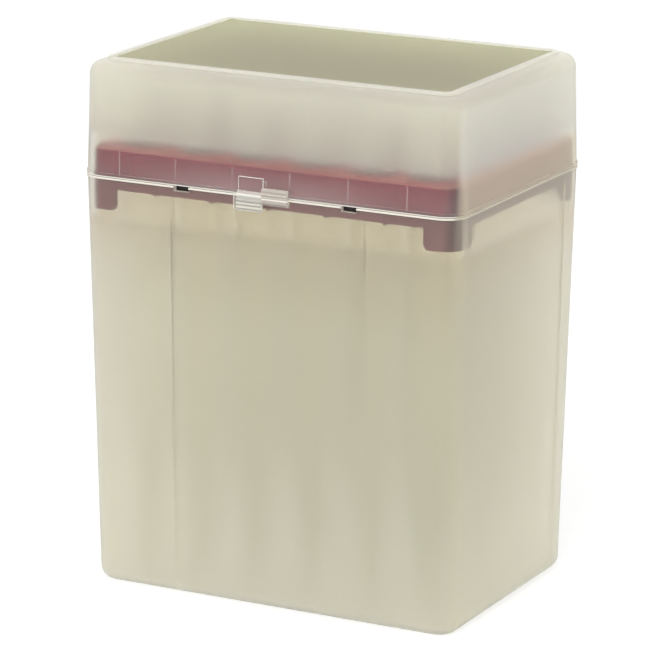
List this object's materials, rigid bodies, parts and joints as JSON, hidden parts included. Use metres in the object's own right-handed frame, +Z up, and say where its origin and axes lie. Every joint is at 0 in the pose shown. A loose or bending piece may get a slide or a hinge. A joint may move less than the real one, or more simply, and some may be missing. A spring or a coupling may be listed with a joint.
{
  "type": "box of pipette tips",
  "caption": "Tall hinged box of frosted plastic that holds long pipette tips upright in a perforated tray, with a lid on a rear snap hinge, front thumb tabs and a stacking frame.",
  "frame": {"origin": "middle of the footprint, on the surface the box stands on", "axes": "+X to the right along the long side, -Y out of the front with the thumb tabs, +Y to the hinge, +Z up"},
  "size_m": [0.129, 0.0954, 0.167],
  "materials": {
    "base_natural": "satin frosted translucent polypropylene",
    "lid_natural": "satin frosted translucent polypropylene, polished panel on top",
    "tray_maroon": "satin",
    "tip_natural": "smooth translucent polypropylene"
  },
  "bodies": {
    "base": {"base": "base_natural", "tip_tray": "tray_maroon", "tip_a1": "tip_natural", "tip_a2": "tip_natural", "tip_a3": "tip_natural", "tip_a4": "tip_natural", "tip_a5": "tip_natural", "tip_a6": "tip_natural", "tip_b1": "tip_natural", "tip_b2": "tip_natural", "tip_b3": "tip_natural", "tip_b4": "tip_natural", "tip_b5": "tip_natural", "tip_b6": "tip_natural", "tip_c1": "tip_natural", "tip_c2": "tip_natural", "tip_c3": "tip_natural", "tip_c4": "tip_natural", "tip_c5": "tip_natural", "tip_c6": "tip_natural", "tip_d1": "tip_natural", "tip_d2": "tip_natural", "tip_d3": "tip_natural", "tip_d4": "tip_natural", "tip_d5": "tip_natural", "tip_d6": "tip_natural"},
    "lid": {"lid": "lid_natural"}
  },
  "joints": [
    {"name": "lid_hinge", "type": "hinge", "parent": "base", "child": "lid", "pos_m": [0, 0.0462, 0.13093], "axis": [-1, 0, 0], "range_deg": [0, 110]}
  ]
}
